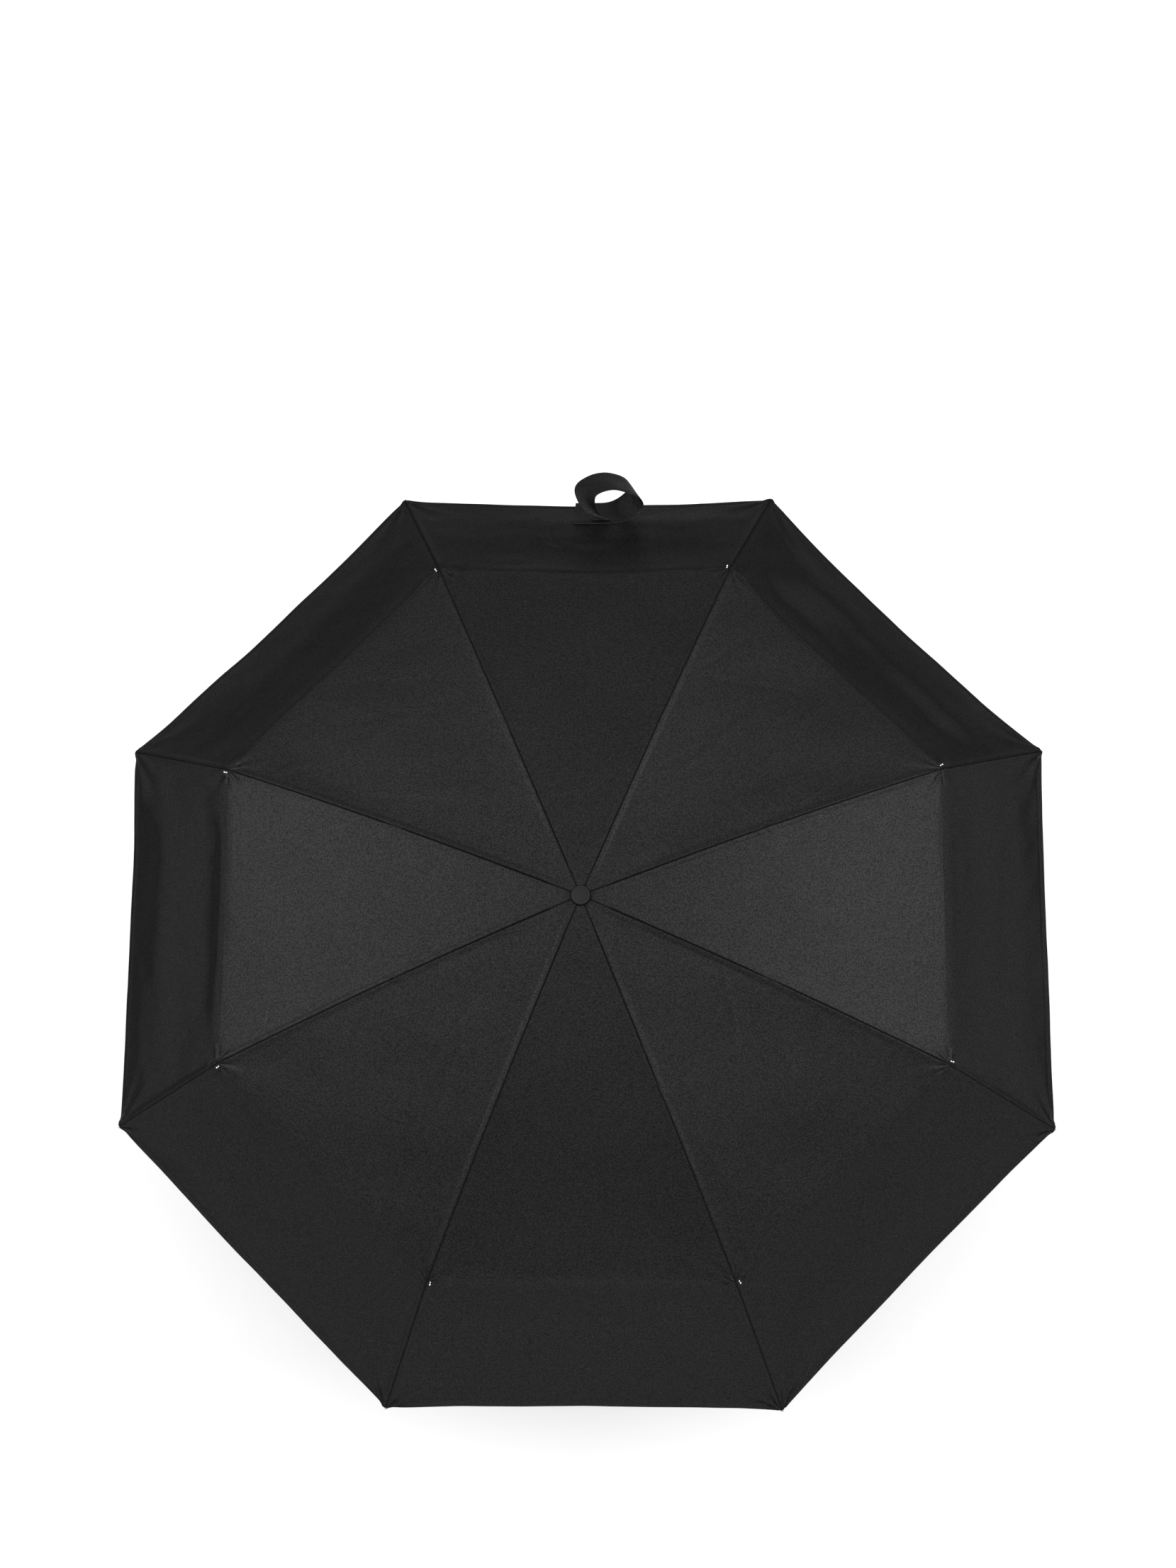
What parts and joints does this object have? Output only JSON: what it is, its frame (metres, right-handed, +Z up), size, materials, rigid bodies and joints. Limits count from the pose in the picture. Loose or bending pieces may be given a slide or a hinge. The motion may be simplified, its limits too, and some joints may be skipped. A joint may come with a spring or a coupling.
{
  "type": "folding umbrella",
  "caption": "Compact folding umbrella, open: fabric canopy on jointed ribs, sliding runner, telescopic shaft, short handle and a tie strap on the hem.",
  "frame": {"origin": "middle of the handle's flat end", "axes": "+Z up the shaft to the crown; the hem edge with the tie strap faces +Y; ribs stand at 22.5 degrees from +X and every 45 degrees"},
  "size_m": [0.9116, 0.9309, 0.545],
  "materials": {
    "rib_steel": "bright zinc-grey plated steel, folded channel, light tool marks",
    "tip_metal": "bright plated metal cup",
    "shaft_steel": "bright plated drawn tube, faint lengthwise polish lines",
    "spring_steel": "plain drawn wire",
    "black_plastic": "moulded black plastic, fine matt grain",
    "button_plastic": "moulded dark grey plastic, ribbed",
    "cap_plastic": "moulded black plastic, satin, with a raised rim",
    "grip_rubber": "soft-touch black rubberised grip",
    "canopy_cloth": "black plain-weave polyester, dull with a slight sheen",
    "strap_cloth": "folded and stitched black polyester strap",
    "hook_tape": "black hook-and-loop tape"
  },
  "bodies": {
    "shaft_base": {"handle": "grip_rubber", "handle_end_cap": "black_plastic", "handle_collar": "shaft_steel", "lower_tube": "shaft_steel"},
    "middle_shaft": {"middle_tube": "shaft_steel"},
    "upper_shaft": {"upper_tube": "shaft_steel", "crown_notch": "black_plastic", "crown_ring": "spring_steel", "cap_washer": "black_plastic", "crown_cap": "cap_plastic", "canopy": "canopy_cloth"},
    "runner": {"runner": "black_plastic", "runner_ring": "spring_steel"},
    "runner_button": {"runner_button": "button_plastic"},
    "top_rib_1": {"top_rib_1": "rib_steel"},
    "stretcher_1": {"stretcher_1": "rib_steel"},
    "mid_rib_1": {"mid_rib_1": "rib_steel"},
    "outer_rib_1": {"outer_rib_1": "rib_steel", "rib_tip_1": "tip_metal"},
    "top_rib_2": {"top_rib_2": "rib_steel"},
    "stretcher_2": {"stretcher_2": "rib_steel"},
    "mid_rib_2": {"mid_rib_2": "rib_steel"},
    "outer_rib_2": {"outer_rib_2": "rib_steel", "rib_tip_2": "tip_metal", "tie_strap": "strap_cloth", "strap_fastener": "hook_tape"},
    "top_rib_3": {"top_rib_3": "rib_steel"},
    "stretcher_3": {"stretcher_3": "rib_steel"},
    "mid_rib_3": {"mid_rib_3": "rib_steel"},
    "outer_rib_3": {"outer_rib_3": "rib_steel", "rib_tip_3": "tip_metal"},
    "top_rib_4": {"top_rib_4": "rib_steel"},
    "stretcher_4": {"stretcher_4": "rib_steel"},
    "mid_rib_4": {"mid_rib_4": "rib_steel"},
    "outer_rib_4": {"outer_rib_4": "rib_steel", "rib_tip_4": "tip_metal"},
    "top_rib_5": {"top_rib_5": "rib_steel"},
    "stretcher_5": {"stretcher_5": "rib_steel"},
    "mid_rib_5": {"mid_rib_5": "rib_steel"},
    "outer_rib_5": {"outer_rib_5": "rib_steel", "rib_tip_5": "tip_metal"},
    "top_rib_6": {"top_rib_6": "rib_steel"},
    "stretcher_6": {"stretcher_6": "rib_steel"},
    "mid_rib_6": {"mid_rib_6": "rib_steel"},
    "outer_rib_6": {"outer_rib_6": "rib_steel", "rib_tip_6": "tip_metal"},
    "top_rib_7": {"top_rib_7": "rib_steel"},
    "stretcher_7": {"stretcher_7": "rib_steel"},
    "mid_rib_7": {"mid_rib_7": "rib_steel"},
    "outer_rib_7": {"outer_rib_7": "rib_steel", "rib_tip_7": "tip_metal"},
    "top_rib_8": {"top_rib_8": "rib_steel"},
    "stretcher_8": {"stretcher_8": "rib_steel"},
    "mid_rib_8": {"mid_rib_8": "rib_steel"},
    "outer_rib_8": {"outer_rib_8": "rib_steel", "rib_tip_8": "tip_metal"}
  },
  "joints": [
    {"name": "middle_tube_slide", "type": "slide", "parent": "shaft_base", "child": "middle_shaft", "axis": [0, 0, -1], "range_m": [0, 0.13]},
    {"name": "upper_tube_slide", "type": "slide", "parent": "middle_shaft", "child": "upper_shaft", "axis": [0, 0, -1], "range_m": [0, 0.141]},
    {"name": "canopy_fold", "type": "hinge", "parent": "upper_shaft", "child": "top_rib_1", "pos_m": [0.00924, 0.00383, 0.5356], "axis": [-0.3827, 0.9239, 0], "range_deg": [0, 78], "deforming": ["canopy", "tie_strap", "strap_fastener"]},
    {"name": "stretcher_1_fold", "type": "hinge", "parent": "top_rib_1", "child": "stretcher_1", "pos_m": [0.08633, 0.03576, 0.51938], "axis": [-0.3827, 0.9239, 0], "range_deg": [-157, 1]},
    {"name": "mid_rib_1_fold", "type": "hinge", "parent": "top_rib_1", "child": "mid_rib_1", "pos_m": [0.16983, 0.07035, 0.50747], "axis": [-0.3827, 0.9239, 0], "range_deg": [-189, 1]},
    {"name": "outer_rib_1_fold", "type": "hinge", "parent": "mid_rib_1", "child": "outer_rib_1", "pos_m": [0.33474, 0.13865, 0.44225], "axis": [-0.3827, 0.9239, 0], "range_deg": [-1, 156.5]},
    {"name": "top_rib_2_fold", "type": "hinge", "parent": "upper_shaft", "child": "top_rib_2", "pos_m": [0.00383, 0.00924, 0.5356], "axis": [-0.9239, 0.3827, 0], "range_deg": [-0.5, 78.5]},
    {"name": "stretcher_2_fold", "type": "hinge", "parent": "top_rib_2", "child": "stretcher_2", "pos_m": [0.03576, 0.08633, 0.51938], "axis": [-0.9239, 0.3827, 0], "range_deg": [-157, 1]},
    {"name": "mid_rib_2_fold", "type": "hinge", "parent": "top_rib_2", "child": "mid_rib_2", "pos_m": [0.07035, 0.16983, 0.50747], "axis": [-0.9239, 0.3827, 0], "range_deg": [-189, 1]},
    {"name": "outer_rib_2_fold", "type": "hinge", "parent": "mid_rib_2", "child": "outer_rib_2", "pos_m": [0.13865, 0.33474, 0.44225], "axis": [-0.9239, 0.3827, 0], "range_deg": [-1, 156.5]},
    {"name": "top_rib_3_fold", "type": "hinge", "parent": "upper_shaft", "child": "top_rib_3", "pos_m": [-0.00383, 0.00924, 0.5356], "axis": [-0.9239, -0.3827, 0], "range_deg": [-0.5, 78.5]},
    {"name": "stretcher_3_fold", "type": "hinge", "parent": "top_rib_3", "child": "stretcher_3", "pos_m": [-0.03576, 0.08633, 0.51938], "axis": [-0.9239, -0.3827, 0], "range_deg": [-157, 1]},
    {"name": "mid_rib_3_fold", "type": "hinge", "parent": "top_rib_3", "child": "mid_rib_3", "pos_m": [-0.07035, 0.16983, 0.50747], "axis": [-0.9239, -0.3827, 0], "range_deg": [-189, 1]},
    {"name": "outer_rib_3_fold", "type": "hinge", "parent": "mid_rib_3", "child": "outer_rib_3", "pos_m": [-0.13865, 0.33474, 0.44225], "axis": [-0.9239, -0.3827, 0], "range_deg": [-1, 156.5]},
    {"name": "top_rib_4_fold", "type": "hinge", "parent": "upper_shaft", "child": "top_rib_4", "pos_m": [-0.00924, 0.00383, 0.5356], "axis": [-0.3827, -0.9239, 0], "range_deg": [-0.5, 78.5]},
    {"name": "stretcher_4_fold", "type": "hinge", "parent": "top_rib_4", "child": "stretcher_4", "pos_m": [-0.08633, 0.03576, 0.51938], "axis": [-0.3827, -0.9239, 0], "range_deg": [-157, 1]},
    {"name": "mid_rib_4_fold", "type": "hinge", "parent": "top_rib_4", "child": "mid_rib_4", "pos_m": [-0.16983, 0.07035, 0.50747], "axis": [-0.3827, -0.9239, 0], "range_deg": [-189, 1]},
    {"name": "outer_rib_4_fold", "type": "hinge", "parent": "mid_rib_4", "child": "outer_rib_4", "pos_m": [-0.33474, 0.13865, 0.44225], "axis": [-0.3827, -0.9239, 0], "range_deg": [-1, 156.5]},
    {"name": "top_rib_5_fold", "type": "hinge", "parent": "upper_shaft", "child": "top_rib_5", "pos_m": [-0.00924, -0.00383, 0.5356], "axis": [0.3827, -0.9239, 0], "range_deg": [-0.5, 78.5]},
    {"name": "stretcher_5_fold", "type": "hinge", "parent": "top_rib_5", "child": "stretcher_5", "pos_m": [-0.08633, -0.03576, 0.51938], "axis": [0.3827, -0.9239, 0], "range_deg": [-157, 1]},
    {"name": "mid_rib_5_fold", "type": "hinge", "parent": "top_rib_5", "child": "mid_rib_5", "pos_m": [-0.16983, -0.07035, 0.50747], "axis": [0.3827, -0.9239, 0], "range_deg": [-189, 1]},
    {"name": "outer_rib_5_fold", "type": "hinge", "parent": "mid_rib_5", "child": "outer_rib_5", "pos_m": [-0.33474, -0.13865, 0.44225], "axis": [0.3827, -0.9239, 0], "range_deg": [-1, 156.5]},
    {"name": "top_rib_6_fold", "type": "hinge", "parent": "upper_shaft", "child": "top_rib_6", "pos_m": [-0.00383, -0.00924, 0.5356], "axis": [0.9239, -0.3827, 0], "range_deg": [-0.5, 78.5]},
    {"name": "stretcher_6_fold", "type": "hinge", "parent": "top_rib_6", "child": "stretcher_6", "pos_m": [-0.03576, -0.08633, 0.51938], "axis": [0.9239, -0.3827, 0], "range_deg": [-157, 1]},
    {"name": "mid_rib_6_fold", "type": "hinge", "parent": "top_rib_6", "child": "mid_rib_6", "pos_m": [-0.07035, -0.16983, 0.50747], "axis": [0.9239, -0.3827, 0], "range_deg": [-189, 1]},
    {"name": "outer_rib_6_fold", "type": "hinge", "parent": "mid_rib_6", "child": "outer_rib_6", "pos_m": [-0.13865, -0.33474, 0.44225], "axis": [0.9239, -0.3827, 0], "range_deg": [-1, 156.5]},
    {"name": "top_rib_7_fold", "type": "hinge", "parent": "upper_shaft", "child": "top_rib_7", "pos_m": [0.00383, -0.00924, 0.5356], "axis": [0.9239, 0.3827, 0], "range_deg": [-0.5, 78.5]},
    {"name": "stretcher_7_fold", "type": "hinge", "parent": "top_rib_7", "child": "stretcher_7", "pos_m": [0.03576, -0.08633, 0.51938], "axis": [0.9239, 0.3827, 0], "range_deg": [-157, 1]},
    {"name": "mid_rib_7_fold", "type": "hinge", "parent": "top_rib_7", "child": "mid_rib_7", "pos_m": [0.07035, -0.16983, 0.50747], "axis": [0.9239, 0.3827, 0], "range_deg": [-189, 1]},
    {"name": "outer_rib_7_fold", "type": "hinge", "parent": "mid_rib_7", "child": "outer_rib_7", "pos_m": [0.13865, -0.33474, 0.44225], "axis": [0.9239, 0.3827, 0], "range_deg": [-1, 156.5]},
    {"name": "top_rib_8_fold", "type": "hinge", "parent": "upper_shaft", "child": "top_rib_8", "pos_m": [0.00924, -0.00383, 0.5356], "axis": [0.3827, 0.9239, 0], "range_deg": [-0.5, 78.5]},
    {"name": "stretcher_8_fold", "type": "hinge", "parent": "top_rib_8", "child": "stretcher_8", "pos_m": [0.08633, -0.03576, 0.51938], "axis": [0.3827, 0.9239, 0], "range_deg": [-157, 1]},
    {"name": "mid_rib_8_fold", "type": "hinge", "parent": "top_rib_8", "child": "mid_rib_8", "pos_m": [0.16983, -0.07035, 0.50747], "axis": [0.3827, 0.9239, 0], "range_deg": [-189, 1]},
    {"name": "outer_rib_8_fold", "type": "hinge", "parent": "mid_rib_8", "child": "outer_rib_8", "pos_m": [0.33474, -0.13865, 0.44225], "axis": [0.3827, 0.9239, 0], "range_deg": [-1, 156.5]},
    {"name": "runner_upright", "type": "hinge", "parent": "stretcher_1", "child": "runner", "pos_m": [0.00924, 0.00383, 0.50316], "axis": [-0.3827, 0.9239, 0], "range_deg": [-1, 79]},
    {"name": "runner_button_press", "type": "slide", "parent": "runner", "child": "runner_button", "axis": [-1, 0, 0], "range_m": [0, 0.0012], "stiffness_N_per_m": 600, "springref_m": -0.0005}
  ],
  "couplings": [
    {"joint": "stretcher_1_fold", "follows": "canopy_fold", "ratio": -2},
    {"joint": "mid_rib_1_fold", "follows": "canopy_fold", "ratio": -2.4103},
    {"joint": "outer_rib_1_fold", "follows": "canopy_fold", "ratio": 1.9936},
    {"joint": "top_rib_2_fold", "follows": "canopy_fold", "ratio": 1},
    {"joint": "stretcher_2_fold", "follows": "canopy_fold", "ratio": -2},
    {"joint": "mid_rib_2_fold", "follows": "canopy_fold", "ratio": -2.4103},
    {"joint": "outer_rib_2_fold", "follows": "canopy_fold", "ratio": 1.9936},
    {"joint": "top_rib_3_fold", "follows": "canopy_fold", "ratio": 1},
    {"joint": "stretcher_3_fold", "follows": "canopy_fold", "ratio": -2},
    {"joint": "mid_rib_3_fold", "follows": "canopy_fold", "ratio": -2.4103},
    {"joint": "outer_rib_3_fold", "follows": "canopy_fold", "ratio": 1.9936},
    {"joint": "top_rib_4_fold", "follows": "canopy_fold", "ratio": 1},
    {"joint": "stretcher_4_fold", "follows": "canopy_fold", "ratio": -2},
    {"joint": "mid_rib_4_fold", "follows": "canopy_fold", "ratio": -2.4103},
    {"joint": "outer_rib_4_fold", "follows": "canopy_fold", "ratio": 1.9936},
    {"joint": "top_rib_5_fold", "follows": "canopy_fold", "ratio": 1},
    {"joint": "stretcher_5_fold", "follows": "canopy_fold", "ratio": -2},
    {"joint": "mid_rib_5_fold", "follows": "canopy_fold", "ratio": -2.4103},
    {"joint": "outer_rib_5_fold", "follows": "canopy_fold", "ratio": 1.9936},
    {"joint": "top_rib_6_fold", "follows": "canopy_fold", "ratio": 1},
    {"joint": "stretcher_6_fold", "follows": "canopy_fold", "ratio": -2},
    {"joint": "mid_rib_6_fold", "follows": "canopy_fold", "ratio": -2.4103},
    {"joint": "outer_rib_6_fold", "follows": "canopy_fold", "ratio": 1.9936},
    {"joint": "top_rib_7_fold", "follows": "canopy_fold", "ratio": 1},
    {"joint": "stretcher_7_fold", "follows": "canopy_fold", "ratio": -2},
    {"joint": "mid_rib_7_fold", "follows": "canopy_fold", "ratio": -2.4103},
    {"joint": "outer_rib_7_fold", "follows": "canopy_fold", "ratio": 1.9936},
    {"joint": "top_rib_8_fold", "follows": "canopy_fold", "ratio": 1},
    {"joint": "stretcher_8_fold", "follows": "canopy_fold", "ratio": -2},
    {"joint": "mid_rib_8_fold", "follows": "canopy_fold", "ratio": -2.4103},
    {"joint": "outer_rib_8_fold", "follows": "canopy_fold", "ratio": 1.9936},
    {"joint": "runner_upright", "follows": "canopy_fold", "ratio": 1}
  ]
}
